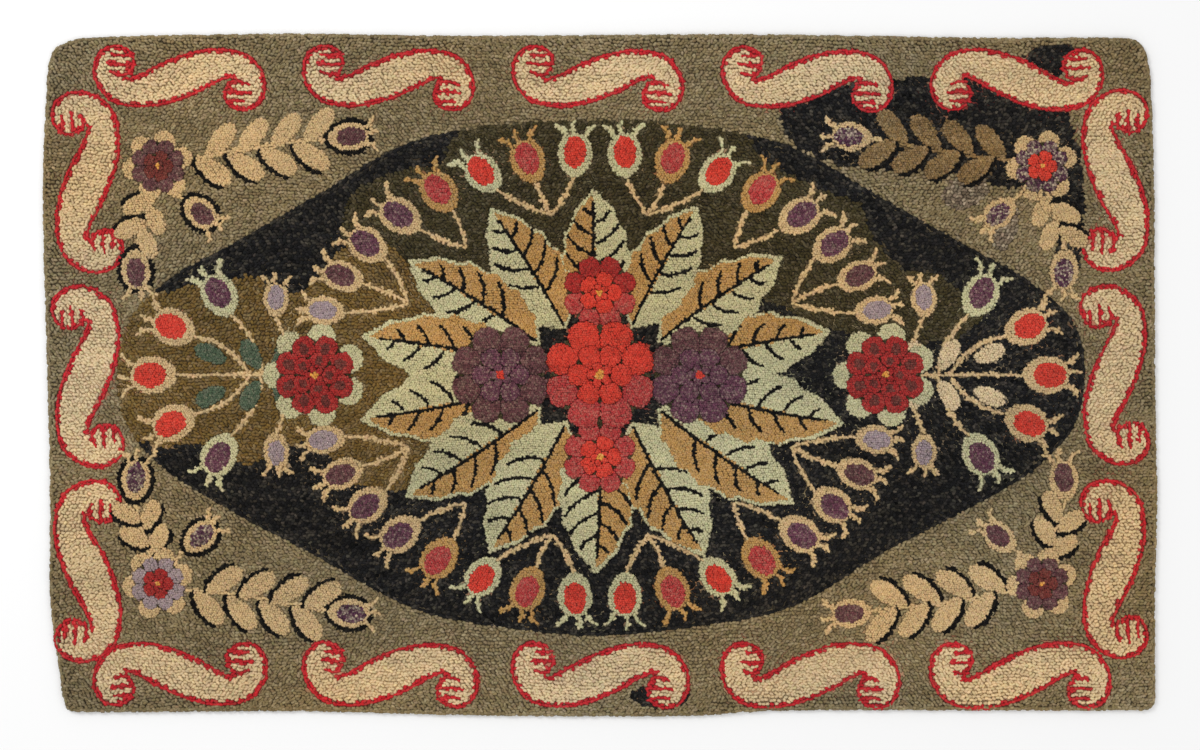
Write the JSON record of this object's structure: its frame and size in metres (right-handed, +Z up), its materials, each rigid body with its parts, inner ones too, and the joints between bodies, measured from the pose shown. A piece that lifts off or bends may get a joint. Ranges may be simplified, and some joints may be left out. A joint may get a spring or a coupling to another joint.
{
  "type": "hooked rug",
  "caption": "Rectangular hooked rug of wool pile on cloth, lying flat, with a scroll border and raised flowers, leaves and buds.",
  "frame": {"origin": "on the floor under the middle of the rug", "axes": "+X along the rug's length, +Y along its width, +Z up out of the pile"},
  "size_m": [1.55, 0.95, 0.017],
  "materials": {
    "olive_wool": "heathered wool loops hooked through cloth, dull"
  },
  "bodies": {
    "root": {"hooked_rug": "olive_wool"}
  },
  "joints": []
}
